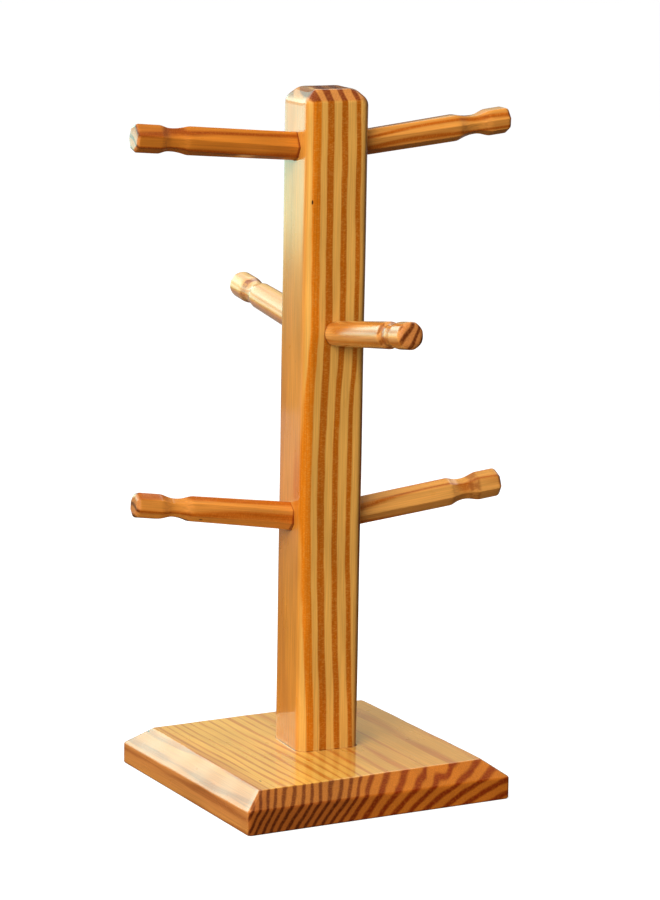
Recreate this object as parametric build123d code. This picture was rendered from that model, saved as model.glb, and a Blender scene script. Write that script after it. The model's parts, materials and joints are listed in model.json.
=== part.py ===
from build123d import *
import math
import os
from typing import NamedTuple

# Mug tree: a square post on a chamfered square board, with three pairs of turned pegs.
# Millimetres. +Z is up and the origin is the centre of the board's underside.
# The board's grain runs along Y, so its front and back edges show end grain.
# The post is turned a little on the board, as it was when the glue set.

# ---- driving dimensions: board ----
BOARD_WIDTH = 150.0          # across the grain, along X
BOARD_LENGTH = 144.6         # along the grain, along Y
BOARD_THICKNESS = 19.9
BOARD_CORNER_R = 1.2         # the four upright corners, eased with sandpaper

# ---- driving dimensions: post ----
POST_WIDTH = 34.1            # between the two faces that hold the upper and lower pegs
POST_DEPTH = 33.9            # between the two faces that hold the middle pegs
POST_TOP_Z = 358.2           # height of the post's top above the table
POST_CORNER_R = 5.2
POST_CHAMFER_RUN = 6.0       # how far the top chamfer comes in from each face
POST_CHAMFER_DROP = 5.5      # how far it comes down each face
POST_TOP_CORNER_R = 2.0      # corners of the small flat that the chamfer leaves on top
POST_TURN = -4.9             # degrees about Z, against the board
POST_OFFSET_X = 2.45         # post centre, from the board's centre
POST_OFFSET_Y = 2.48

# ---- driving dimensions: pegs ----
TOP_TIER_DROP = 28.4         # from the post's top down to the upper pegs' axes, at the post's face
LOWER_TIER_RISE = 120.3      # from the board's top up to the lower pegs' axes
PEG_HOLE_WEB = 7.0           # wood left between two opposite peg holes
TENON_EASE = 0.25            # how much thinner the peg is in its hole than outside, all round
TENON_SHOW = 0.4             # how far the tenon clears the post's face at its highest side
TENON_CHAMFER = 1.0          # on the tenon's inner end
PEG_GLUE_GAP = 0.1           # round the tenon, in its hole; its inner end meets the floor
NECK_FALL = 9.5              # from the shoulder to the neck's thinnest place
NECK_RISE = 9.0              # from the thinnest place to the knob
TIP_R = 4.4                  # rounding of the peg's outer end

# ---- driving dimensions: screw ----
SCREW_LENGTH = 60.0          # over the head
SHANK_R = 1.8                # plain shank under the head
CORE_R = 1.55                # what the thread stands on
THREAD_R = 2.5               # outside of the thread
THREAD_PITCH = 2.8
THREAD_CREST = 0.3           # flat on top of each ridge of the thread
THREAD_ROOT = 1.1            # bare core between two ridges
THREAD_LENGTH = 36.0         # from the shank to the point
POINT_LENGTH = 5.0
HEAD_R = 4.9
HEAD_EDGE = 0.5              # thin cylindrical edge of the head
HEAD_CONE = 3.0              # depth of the countersunk cone
HEAD_SINK = 1.6              # how far the head is sunk into the board's underside
DRIVE_SPAN = 5.2             # the cross recess, end to end at the head's surface
DRIVE_FLOOR_SPAN = 2.0       # and at its floor
DRIVE_WIDTH = 1.1            # of each slot of the cross
DRIVE_DEPTH = 2.4
PASSAGE_CLEARANCE = 0.35     # round the thread, where it passes through the board
HEAD_CLEARANCE = 0.15        # round the head's edge; its cone bears on the board
THREAD_CLEARANCE = 0.05      # round the screw, in the post

# ---- values that follow from them ----
POST_PLANE = Plane(
    origin=(POST_OFFSET_X, POST_OFFSET_Y, 0),
    x_dir=Vector(1, 0, 0).rotate(Axis.Z, POST_TURN),
    z_dir=(0, 0, 1),
)
TOP_TIER_Z = POST_TOP_Z - TOP_TIER_DROP
LOWER_TIER_Z = BOARD_THICKNESS + LOWER_TIER_RISE
MIDDLE_TIER_Z = (TOP_TIER_Z + LOWER_TIER_Z) / 2
SCREW_TIP_Z = HEAD_SINK + SCREW_LENGTH


class Chamfer(NamedTuple):
    """One sloping edge of the board. Planed by hand, so it widens from one end to the other."""

    run: float               # how far it comes in on the top, at its narrow end
    drop: float              # how far it comes down the side, at its narrow end
    widening: float          # wide end over narrow end


class Peg(NamedTuple):
    """One turned peg and where it stands in the post."""

    name: str
    facing: float            # degrees about Z, in the post's frame
    across: float            # thickness of the post from this peg's face to the opposite one
    tier_z: float            # height that its tier is marked out at
    lift: float              # how far off that mark it was drilled
    tilt: float              # degrees above level
    reach: float             # from the post's face to the tip, along the peg
    shoulder: float          # from the post's face to where the neck begins
    radius: float
    neck: float              # how far the neck is turned down below the peg's surface


LEFT_CHAMFER = Chamfer(run=10.4, drop=7.9, widening=1.18)
FRONT_CHAMFER = Chamfer(run=8.8, drop=7.5, widening=1.15)
BACK_CHAMFER = Chamfer(run=9.3, drop=7.6, widening=1.2)
RIGHT_CHAMFER = Chamfer(run=11.5, drop=8.4, widening=1.0)

PEGS = (
    Peg("peg_top_left", 180, POST_WIDTH, TOP_TIER_Z, -0.3, 4.0, 86.0, 57.9, 7.2, 1.4),
    Peg("peg_top_right", 0, POST_WIDTH, TOP_TIER_Z, 0.3, 6.8, 84.6, 54.8, 7.2, 2.1),
    Peg("peg_middle_front", 270, POST_DEPTH, MIDDLE_TIER_Z, 1.2, 8.2, 90.0, 62.0, 7.0, 1.5),
    Peg("peg_middle_back", 90, POST_DEPTH, MIDDLE_TIER_Z, 0.3, 5.0, 92.5, 64.0, 7.1, 1.2),
    Peg("peg_lower_left", 180, POST_WIDTH, LOWER_TIER_Z, 0.3, 7.7, 85.2, 54.8, 6.8, 1.8),
    Peg("peg_lower_right", 0, POST_WIDTH, LOWER_TIER_Z, -0.3, 7.2, 84.6, 55.5, 7.3, 1.8),
)


def turned(*profile):
    """Solid of revolution about Z. The profile is (radius, height) points, closed on the axis."""
    points = [(radius, 0, height) for radius, height in profile]
    return revolve(make_face(Polyline(*points, close=True)), Axis.Z)


# ---------------------------------------------------------------- board

def chamfer_plane(chamfer, narrow_end, wide_end, inward):
    """The plane of one chamfer. Its two ends are top corners of the board's block."""
    low_narrow = narrow_end - Vector(0, 0, chamfer.drop)
    low_wide = wide_end - Vector(0, 0, chamfer.drop * chamfer.widening)
    slope = narrow_end + inward * chamfer.run - low_narrow
    normal = (low_wide - low_narrow).cross(slope)
    if normal.Z < 0:
        normal = normal * -1
    return Plane(origin=low_narrow, z_dir=normal)


def base_board():
    """Square board with a sloping chamfer round its top and a countersunk screw hole."""
    block = extrude(RectangleRounded(BOARD_WIDTH, BOARD_LENGTH, BOARD_CORNER_R), BOARD_THICKNESS)
    half_x = BOARD_WIDTH / 2
    half_y = BOARD_LENGTH / 2
    front_left = Vector(-half_x, -half_y, BOARD_THICKNESS)
    front_right = Vector(half_x, -half_y, BOARD_THICKNESS)
    back_left = Vector(-half_x, half_y, BOARD_THICKNESS)
    back_right = Vector(half_x, half_y, BOARD_THICKNESS)
    planes = (
        chamfer_plane(LEFT_CHAMFER, front_left, back_left, Vector(1, 0, 0)),
        chamfer_plane(FRONT_CHAMFER, front_left, front_right, Vector(0, 1, 0)),
        chamfer_plane(BACK_CHAMFER, back_right, back_left, Vector(0, -1, 0)),
        chamfer_plane(RIGHT_CHAMFER, front_right, back_right, Vector(-1, 0, 0)),
    )
    for plane in planes:
        block = split(block, bisect_by=plane, keep=Keep.BOTTOM)
    return block - POST_PLANE * board_screw_hole()


def board_screw_hole():
    """Mouth that hides the head, a cone that the head bears on, and a clearance hole."""
    mouth_r = HEAD_R + HEAD_CLEARANCE
    hole_r = THREAD_R + PASSAGE_CLEARANCE
    steepness = HEAD_CONE / (HEAD_R - SHANK_R)
    edge_top = HEAD_SINK + HEAD_EDGE
    return turned(
        (0, 0),
        (mouth_r, 0),
        (mouth_r, edge_top - HEAD_CLEARANCE * steepness),
        (hole_r, edge_top + (HEAD_R - hole_r) * steepness),
        (hole_r, BOARD_THICKNESS),
        (0, BOARD_THICKNESS),
    )


# ---------------------------------------------------------------- post

def post_block():
    """Square bar with rounded corners, chamfered all round its top."""
    chamfer_z = POST_TOP_Z - POST_CHAMFER_DROP
    section = RectangleRounded(POST_WIDTH, POST_DEPTH, POST_CORNER_R)
    flat_width = POST_WIDTH - 2 * POST_CHAMFER_RUN
    flat_depth = POST_DEPTH - 2 * POST_CHAMFER_RUN
    flat = RectangleRounded(flat_width, flat_depth, POST_TOP_CORNER_R)
    bar = Pos(0, 0, BOARD_THICKNESS) * extrude(section, chamfer_z - BOARD_THICKNESS)
    cap = loft([Pos(0, 0, chamfer_z) * section, Pos(0, 0, POST_TOP_Z) * flat], ruled=True)
    return POST_PLANE * (bar + cap)


def post():
    """The post with its six blind peg holes and the thread that the screw cut in its end."""
    body = post_block() - POST_PLANE * screw_body(THREAD_CLEARANCE)
    for peg in PEGS:
        body = body - peg_place(peg) * peg_hole(peg)
    return body


# ---------------------------------------------------------------- pegs

def peg_place(peg):
    """Where the peg leaves the post's face, with Z pointing out along the peg."""
    outward = Vector(1, 0, 0).rotate(Axis.Z, peg.facing)
    rise = math.radians(peg.tilt)
    along = outward * math.cos(rise) + Vector(0, 0, math.sin(rise))
    sideways = Vector(0, 1, 0).rotate(Axis.Z, peg.facing)
    start = outward * (peg.across / 2) + Vector(0, 0, peg.tier_z + peg.lift)
    return POST_PLANE * Plane(origin=start, x_dir=sideways, z_dir=along)


def peg_seat(peg):
    """Depth of the peg's hole along its axis. The rim of its floor stops at the web."""
    rise = math.radians(peg.tilt)
    room = (peg.across - PEG_HOLE_WEB) / 2 - peg.radius * math.sin(rise)
    return room / math.cos(rise)


def shaft_start(peg):
    """Where the full thickness begins, clear of the post's face all round the tilted peg."""
    return peg.radius * math.tan(math.radians(peg.tilt)) + TENON_SHOW


def peg_hole(peg):
    """Blind hole, run out past the post's face."""
    hole_r = peg.radius - TENON_EASE + PEG_GLUE_GAP
    depth = peg_seat(peg)
    return turned((0, -depth), (hole_r, -depth), (hole_r, peg.across), (0, peg.across))


def turned_peg(peg):
    """Round peg with a tenon, a straight shaft, a turned neck and a round-edged knob."""
    inner = -peg_seat(peg)
    tenon_r = peg.radius - TENON_EASE
    thinnest = peg.shoulder + NECK_FALL
    knob = thinnest + NECK_RISE
    start = [
        (0, 0, inner),
        (tenon_r - TENON_CHAMFER, 0, inner),
        (tenon_r, 0, inner + TENON_CHAMFER),
        (tenon_r, 0, shaft_start(peg)),
        (peg.radius, 0, shaft_start(peg)),
        (peg.radius, 0, peg.shoulder),
    ]
    neck = [start[-1], (peg.radius - peg.neck, 0, thinnest), (peg.radius, 0, knob)]
    tip = [
        (peg.radius, 0, peg.reach - TIP_R),
        (peg.radius - TIP_R, 0, peg.reach),
    ]
    bend = math.sqrt(0.5) * TIP_R
    tip_middle = (peg.radius - TIP_R + bend, 0, peg.reach - TIP_R + bend)
    profile = Wire([
        *Polyline(*start).edges(),
        Spline(*neck, tangents=[(0, 0, 1), (0, 0, 1)]).edge(),
        Line(neck[-1], tip[0]).edge(),
        ThreePointArc(tip[0], tip_middle, tip[1]).edge(),
        *Polyline(tip[1], (0, 0, peg.reach), start[0]).edges(),
    ])
    return peg_place(peg) * revolve(make_face(profile), Axis.Z)


# ---------------------------------------------------------------- screw

def screw_body(extra):
    """Countersunk wood screw, point up, with its surface moved out by extra."""
    edge_top = HEAD_SINK + HEAD_EDGE
    point_start = SCREW_TIP_Z - POINT_LENGTH
    thread_start = point_start - THREAD_LENGTH
    flank = (THREAD_PITCH - THREAD_CREST - THREAD_ROOT) / 2
    profile = [
        (0, HEAD_SINK),
        (HEAD_R + extra, HEAD_SINK),
        (HEAD_R + extra, edge_top),
        (SHANK_R + extra, edge_top + HEAD_CONE),
        (SHANK_R + extra, thread_start - (SHANK_R - CORE_R)),
        (CORE_R + extra, thread_start),
    ]
    for turn in range(int(THREAD_LENGTH // THREAD_PITCH)):
        foot = thread_start + THREAD_ROOT + turn * THREAD_PITCH
        profile.append((CORE_R + extra, foot))
        profile.append((THREAD_R + extra, foot + flank))
        profile.append((THREAD_R + extra, foot + flank + THREAD_CREST))
        profile.append((CORE_R + extra, foot + 2 * flank + THREAD_CREST))
    profile.append((CORE_R + extra, point_start))
    if extra > 0:
        profile.append((extra, SCREW_TIP_Z))
    profile.append((0, SCREW_TIP_Z + extra))
    return turned(*profile)


def drive_recess():
    """Cross of two tapered slots in the head, deepest at the middle."""
    cross = None
    for turn in (0, 90):
        slot = Plane.XZ * make_face(Polyline(
            (-DRIVE_SPAN / 2, HEAD_SINK),
            (DRIVE_SPAN / 2, HEAD_SINK),
            (DRIVE_FLOOR_SPAN / 2, HEAD_SINK + DRIVE_DEPTH),
            (-DRIVE_FLOOR_SPAN / 2, HEAD_SINK + DRIVE_DEPTH),
            close=True,
        ))
        bar = Rot(0, 0, turn) * extrude(slot, DRIVE_WIDTH / 2, both=True)
        cross = bar if cross is None else cross + bar
    return cross


def base_screw():
    """The one screw that draws the post down on the board."""
    return POST_PLANE * (screw_body(0) - drive_recess())


# ---------------------------------------------------------------- output

def main():
    """Make every piece and write it as its own STEP file."""
    os.makedirs("parts", exist_ok=True)
    pieces = {"base_board": base_board(), "post": post(), "base_screw": base_screw()}
    for peg in PEGS:
        pieces[peg.name] = turned_peg(peg)
    for name, piece in pieces.items():
        export_step(piece, f"parts/{name}.step")


main()
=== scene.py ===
"""Mug tree: a lacquered pine post on a chamfered pine board, with three pairs of hand-shaved pegs.

Every length in the pieces' classes is in millimetres, as a maker would note it down, and becomes metres
when a mesh is made. The studio is in metres. Z is up and the origin is the centre of the board's underside.
"""

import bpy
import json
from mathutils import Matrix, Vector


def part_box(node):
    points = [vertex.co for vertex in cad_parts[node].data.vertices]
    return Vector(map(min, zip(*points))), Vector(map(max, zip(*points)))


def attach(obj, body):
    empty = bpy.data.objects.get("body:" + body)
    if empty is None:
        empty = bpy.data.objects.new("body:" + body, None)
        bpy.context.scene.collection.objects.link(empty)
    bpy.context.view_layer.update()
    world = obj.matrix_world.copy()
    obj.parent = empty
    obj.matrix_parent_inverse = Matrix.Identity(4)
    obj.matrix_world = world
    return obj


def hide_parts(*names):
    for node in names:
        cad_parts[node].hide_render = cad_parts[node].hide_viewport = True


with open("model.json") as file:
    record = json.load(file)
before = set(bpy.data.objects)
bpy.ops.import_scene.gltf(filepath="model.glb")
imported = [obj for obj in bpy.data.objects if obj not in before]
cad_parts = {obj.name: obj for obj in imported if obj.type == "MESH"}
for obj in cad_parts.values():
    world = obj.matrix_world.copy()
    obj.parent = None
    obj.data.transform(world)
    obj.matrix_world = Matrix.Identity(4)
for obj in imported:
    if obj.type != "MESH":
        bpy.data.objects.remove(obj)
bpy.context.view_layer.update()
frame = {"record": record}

import json
import logging
import math
from dataclasses import dataclass, field
from enum import Enum
from typing import Any, Sequence

import bpy
import numpy as np
from mathutils import Matrix, Vector

LOG = logging.getLogger("mug_tree")
MM = 0.001
BODY = "root"
TAU = 2 * math.pi
ARC_HANDLE = 0.5523  # of the way to the corner, which makes a cubic Bezier curve nearly a circle
EASE_STEPS = 6  # rings along a softened edge
EASE_HOLD = 1.35  # place of the holding rings, in eases
END_GRAIN = (0.1, 0.8)  # how squarely a surface faces along the grain, from side grain to end grain
NOISE_SPAN = (0.2, 0.8)  # where a soft noise's values lie

Colour = tuple[float, float, float, float]
Socket = bpy.types.NodeSocket


class Slot(Enum):
    """Material slots of the record."""

    BOARD = "board_wood"
    POST = "post_wood"
    PEG = "peg_wood"
    SCREW = "screw_steel"


def paint(red: int, green: int, blue: int) -> Colour:
    """Turns a colour, 0 to 255, into the linear colour that a shader takes.

    Args:
        red: Red share.
        green: Green share.
        blue: Blue share.

    Returns:
        Linear red, green, blue and a full alpha.
    """
    shares = np.array([red, green, blue]) / 255
    linear = np.where(shares <= 0.04045, shares / 12.92, ((shares + 0.055) / 1.055) ** 2.4)
    return (float(linear[0]), float(linear[1]), float(linear[2]), 1.0)


# ---------------------------------------------------------------- meshes


def skin(name: str, rows: np.ndarray, looped: bool = False) -> bpy.types.Object:
    """Covers rings of points with a closed skin.

    Corner (i, j) is joined to (i, j + 1), (i + 1, j + 1) and (i + 1, j), and each ring closes on
    itself. A looped skin joins its last ring to its first; any other has a fan over each end, round
    the mean of the end ring. The skin is turned round if its signed volume is negative.

    Args:
        name: Name of the piece.
        rows: Rings by points by three coordinates, in millimetres.
        looped: Whether the last ring joins the first.

    Returns:
        The new object, at the origin.
    """
    count, around = rows.shape[:2]
    index = np.arange(count * around).reshape(count, around)
    upper = np.roll(index, -1, axis=0) if looped else index[1:]
    lower = index if looped else index[:-1]
    quads = np.stack([lower, np.roll(lower, -1, 1), np.roll(upper, -1, 1), upper], -1).reshape(-1, 4)
    points = rows.reshape(-1, 3)
    fans = np.zeros((0, 3), int)
    if not looped:
        points = np.vstack([points, rows[0].mean(0), rows[-1].mean(0)])
        first, last = index[0], index[-1]
        start_hub = np.full(around, count * around)
        fans = np.vstack([
            np.stack([start_hub, np.roll(first, -1), first], -1),
            np.stack([start_hub + 1, last, np.roll(last, -1)], -1),
        ])
    corners = np.vstack([quads[:, [0, 1, 2]], quads[:, [0, 2, 3]], fans])
    a, b, c = (points[corners[:, k]] for k in range(3))
    if np.einsum("ij,ij->i", a, np.cross(b, c)).sum() < 0:
        quads = quads[:, ::-1]
        fans = fans[:, ::-1]
    mesh = bpy.data.meshes.new(name)
    mesh.from_pydata((points * MM).tolist(), [], quads.tolist() + fans.tolist())
    mesh.polygons.foreach_set("use_smooth", np.ones(len(mesh.polygons), bool))
    mesh.update()
    piece = bpy.data.objects.new(name, mesh)
    bpy.context.scene.collection.objects.link(piece)
    return piece


def soft_outline(
    corners: np.ndarray,
    ease: Sequence[float],
    side_steps: int,
    corner_steps: int,
) -> np.ndarray:
    """Walks round a four-cornered outline whose corners are rounded.

    A corner P is cut back by its ease along both sides to A and B, and the cubic Bezier curve with
    handles 0.5523 of the way from A and from B to P replaces it. Sides are straight between them.

    Args:
        corners: Four corners in order, each x and y.
        ease: How far each corner is cut back.
        side_steps: Points along a side.
        corner_steps: Points along a corner.

    Returns:
        Points by two coordinates.
    """
    before = np.roll(corners, 1, axis=0) - corners
    after = np.roll(corners, -1, axis=0) - corners
    cut = np.asarray(ease, float)[:, None]
    start = corners + before / np.linalg.norm(before, axis=1, keepdims=True) * cut
    end = corners + after / np.linalg.norm(after, axis=1, keepdims=True) * cut
    t = np.linspace(0, 1, corner_steps)[None, :, None]
    p0, p3 = start[:, None], end[:, None]
    p1 = p0 + (corners[:, None] - p0) * ARC_HANDLE
    p2 = p3 + (corners[:, None] - p3) * ARC_HANDLE
    bend = (1 - t) ** 3 * p0 + 3 * t * (1 - t) ** 2 * p1 + 3 * t ** 2 * (1 - t) * p2 + t ** 3 * p3
    u = np.linspace(0, 1, side_steps + 2)[1:-1][None, :, None]
    side = end[:, None] * (1 - u) + np.roll(start, -1, axis=0)[:, None] * u
    return np.concatenate([bend, side], axis=1).reshape(-1, 2)


def raise_to(outline: np.ndarray, height: np.ndarray | float) -> np.ndarray:
    """Gives a flat outline its height: one number, or one for each point."""
    return np.column_stack([outline, np.broadcast_to(height, len(outline))])


def eased_rings(rings: Sequence[np.ndarray], ease: Sequence[Any], looped: bool = False) -> np.ndarray:
    """Softens the edges that run round a piece.

    Each ring P with an ease e becomes the quadratic Bezier curve from P + e towards the ring before,
    past P, to P + e towards the ring after, with one holding ring a little further out on each side
    that keeps the flats flat. A ring with no ease stays as it is.

    Args:
        rings: Control rings, each points by three coordinates.
        ease: Ease of each ring, in millimetres: one number, or one for each of its points.
        looped: Whether the last ring leads on to the first.

    Returns:
        Rings by points by three coordinates.
    """
    stack = np.stack(rings)
    t = np.linspace(0, 1, EASE_STEPS)[:, None, None]
    result: list[np.ndarray] = []
    for place, distance in enumerate(ease):
        here = stack[place]
        is_end = not looped and place in (0, len(rings) - 1)
        if np.all(np.asarray(distance) == 0) or is_end:
            result.append(here[None])
            continue
        distance = np.broadcast_to(distance, len(here))[:, None]
        back = stack[place - 1] - here
        onward = stack[(place + 1) % len(rings)] - here
        back /= np.linalg.norm(back, axis=1, keepdims=True)
        onward /= np.linalg.norm(onward, axis=1, keepdims=True)
        start, end = here + back * distance, here + onward * distance
        bend = (1 - t) ** 2 * start + 2 * t * (1 - t) * here + t ** 2 * end
        hold = EASE_HOLD * distance
        result.append(np.concatenate([(here + back * hold)[None], bend, (here + onward * hold)[None]]))
    return np.concatenate(result)


@dataclass(frozen=True)
class Place:
    """Where a piece's own axes lie in the frame. Its Z is the direction that its grain runs in."""

    origin: tuple[float, float, float]
    side: Vector
    up: Vector
    along: Vector

    def put(self, points: np.ndarray) -> np.ndarray:
        """Moves points from the piece's own axes into the frame."""
        axes = np.array([self.side, self.up, self.along])
        return points @ axes + np.array(self.origin)

    def turn(self) -> Any:
        """Euler angles that turn the frame's axes to the piece's own."""
        return Matrix((self.side, self.up, self.along)).transposed().to_euler("XYZ")


# ---------------------------------------------------------------- nodes


class NodeBench:
    """Lays out and joins the nodes of one node tree."""

    def __init__(self, tree: bpy.types.NodeTree) -> None:
        """Keeps the tree that the nodes go into."""
        self.tree = tree

    def feed(self, socket: Socket, value: Any) -> None:
        """Joins a socket to another one, or sets it to a fixed value.

        Args:
            socket: The socket that takes it.
            value: A socket, or the value.
        """
        if isinstance(value, bpy.types.NodeSocket):
            self.tree.links.new(value, socket)
        else:
            socket.default_value = value

    def add(self, kind: str, inputs: dict[Any, Any] | None = None, **settings: Any) -> bpy.types.Node:
        """Adds one node.

        Args:
            kind: Blender's name for the kind of node.
            inputs: What goes into its sockets, by name or number.
            **settings: Its other settings.

        Returns:
            The node.
        """
        node = self.tree.nodes.new(kind)
        for name, value in settings.items():
            setattr(node, name, value)
        for key, value in (inputs or {}).items():
            self.feed(node.inputs[key], value)
        return node

    def sum(self, operation: str, *terms: Any, clamp: bool = False) -> Socket:
        """One step of arithmetic on numbers."""
        node = self.add("ShaderNodeMath", dict(enumerate(terms)), operation=operation, use_clamp=clamp)
        return node.outputs[0]

    def scaled(self, vector: Socket, factors: tuple[float, float, float]) -> Socket:
        """A vector with each of its coordinates multiplied."""
        return self.add("ShaderNodeVectorMath", {0: vector, 1: factors}, operation="MULTIPLY").outputs[0]

    def towards(self, vector: Socket, direction: Sequence[float]) -> Socket:
        """How far a vector points in a direction."""
        inputs = {0: vector, 1: direction}
        return self.add("ShaderNodeVectorMath", inputs, operation="DOT_PRODUCT").outputs["Value"]

    def noise(self, vector: Socket, factors: tuple[float, float, float], detail: float = 2.0) -> Socket:
        """Soft random pattern, 0 to 1, with so many waves to the millimetre along each axis."""
        inputs = {"Vector": self.scaled(vector, factors), "Scale": 1.0, "Detail": detail}
        return self.add("ShaderNodeTexNoise", inputs).outputs["Fac"]

    def ramp(self, value: Any, low: float, high: float, at_low: float = 0.0, at_high: float = 1.0) -> Socket:
        """S-shaped step between two values, level outside them."""
        inputs = {"Value": value, "From Min": low, "From Max": high, "To Min": at_low, "To Max": at_high}
        return self.add("ShaderNodeMapRange", inputs, interpolation_type="SMOOTHSTEP").outputs["Result"]

    def mixed(self, share: Any, first: Any, second: Any, blend: str = "MIX") -> Socket:
        """Mixes two colours."""
        inputs = {0: share, 6: first, 7: second}
        return self.add("ShaderNodeMix", inputs, data_type="RGBA", blend_type=blend).outputs[2]

    def split(self, vector: Socket) -> tuple[Socket, Socket, Socket]:
        """A vector's three coordinates."""
        outputs = self.add("ShaderNodeSeparateXYZ", {0: vector}).outputs
        return outputs[0], outputs[1], outputs[2]

    def curve(self, value: Socket, points: Sequence[tuple[float, float]]) -> Socket:
        """Smooth curve through chosen points.

        Args:
            value: What goes in.
            points: Pairs of what goes in and what comes out, in rising order of the first.

        Returns:
            What comes out.
        """
        table = np.array(points, float)
        low, high = table.min(0), table.max(0)
        shares = (table - low) / (high - low)
        share = self.add("ShaderNodeMapRange", {0: value, 1: low[0], 2: high[0], 3: 0.0, 4: 1.0}).outputs[0]
        node = self.add("ShaderNodeFloatCurve", {"Value": share})
        line = node.mapping.curves[0]
        line.points[0].location = shares[0]
        line.points[-1].location = shares[-1]
        for x, y in shares[1:-1]:
            line.points.new(x, y)
        node.mapping.update()
        inputs = {0: node.outputs[0], 1: 0.0, 2: 1.0, 3: low[1], 4: high[1]}
        return self.add("ShaderNodeMapRange", inputs).outputs[0]

    def place(self, group: bpy.types.NodeTree, inputs: dict[str, Any]) -> bpy.types.Node:
        """Places a node group.

        Args:
            group: The group.
            inputs: What goes into its sockets, by name.

        Returns:
            The node.
        """
        node = self.tree.nodes.new("ShaderNodeGroup")
        node.node_tree = group
        for key, value in inputs.items():
            self.feed(node.inputs[key], value)
        return node


class EffectGroup:
    """A shader node group with named inputs and outputs, built once and placed in many finishes."""

    title = ""
    takes: dict[str, tuple[str, Any]] = {}
    gives: dict[str, str] = {}

    def build(self) -> bpy.types.NodeTree:
        """Makes the group, or finds it if it is made already.

        Returns:
            The group.
        """
        found = bpy.data.node_groups.get(self.title)
        if found:
            return found
        tree = bpy.data.node_groups.new(self.title, "ShaderNodeTree")
        for name, (kind, value) in self.takes.items():
            socket = tree.interface.new_socket(name, in_out="INPUT", socket_type=kind)
            if value is not None:
                socket.default_value = value
        for name, kind in self.gives.items():
            tree.interface.new_socket(name, in_out="OUTPUT", socket_type=kind)
        bench = NodeBench(tree)
        taken = tree.nodes.new("NodeGroupInput").outputs
        results = self.lay_out(bench, taken)
        given = tree.nodes.new("NodeGroupOutput").inputs
        for name, value in results.items():
            bench.feed(given[name], value)
        return tree

    def lay_out(self, bench: NodeBench, taken: Any) -> dict[str, Socket]:
        """Lays out the group's nodes and says which socket gives each output."""
        raise NotImplementedError


NUMBER = "NodeSocketFloat"
POINT = "NodeSocketVector"
TINT = "NodeSocketColor"


class AnnualRings(EffectGroup):
    """Pine's year rings: how dark the late wood is at a point, from its ring number.

    A ring's late wood is centred half way between two whole numbers, takes up the given share of the
    ring, and fades at both edges over the given softness.
    """

    title = "annual_rings"
    takes = {"Ring": (NUMBER, 0.0), "Late Share": (NUMBER, 0.4), "Softness": (NUMBER, 0.08)}
    gives = {"Late Wood": NUMBER}

    def lay_out(self, bench: NodeBench, taken: Any) -> dict[str, Socket]:
        """See the class.

        Args:
            bench: Bench of the group's own nodes.
            taken: Sockets that the group takes, by name.

        Returns:
            The socket that gives each output.
        """
        fraction = bench.sum("FRACT", taken["Ring"])
        away = bench.sum("ABSOLUTE", bench.sum("SUBTRACT", fraction, 0.5))
        edge = bench.sum("MULTIPLY", taken["Late Share"], 0.5)
        excess = bench.sum("SUBTRACT", away, edge)
        depth = bench.sum("DIVIDE", excess, taken["Softness"])
        return {"Late Wood": bench.ramp(depth, -1.0, 1.0, 1.0, 0.0)}


class WoodFibre(EffectGroup):
    """What lies between the rings: fine streaks along the grain, slow blotches, short flecks, resin pits."""

    title = "wood_fibre"
    takes = {"Point": (POINT, None)}
    gives = {"Streaks": NUMBER, "Blotches": NUMBER, "Flecks": NUMBER, "Pits": NUMBER}
    streak_waves = (1.6, 1.6, 0.03)
    blotch_waves = (0.07, 0.07, 0.02)
    fleck_waves = (0.8, 0.8, 2.2)
    pit_cells = (0.055, 0.055, 0.022)
    pit_rim = (0.018, 0.034)

    def lay_out(self, bench: NodeBench, taken: Any) -> dict[str, Socket]:
        """See the class. The point is in millimetres, with Z along the grain.

        Args:
            bench: Bench of the group's own nodes.
            taken: Sockets that the group takes, by name.

        Returns:
            The socket that gives each output.
        """
        point = taken["Point"]
        cells = bench.add(
            "ShaderNodeTexVoronoi",
            {"Vector": bench.scaled(point, self.pit_cells), "Scale": 1.0, "Randomness": 1.0},
        )
        return {
            "Streaks": bench.noise(point, self.streak_waves, 4.0),
            "Blotches": bench.noise(point, self.blotch_waves, 2.0),
            "Flecks": bench.noise(point, self.fleck_waves, 3.0),
            "Pits": bench.ramp(cells.outputs["Distance"], *self.pit_rim, 1.0, 0.0),
        }


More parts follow.
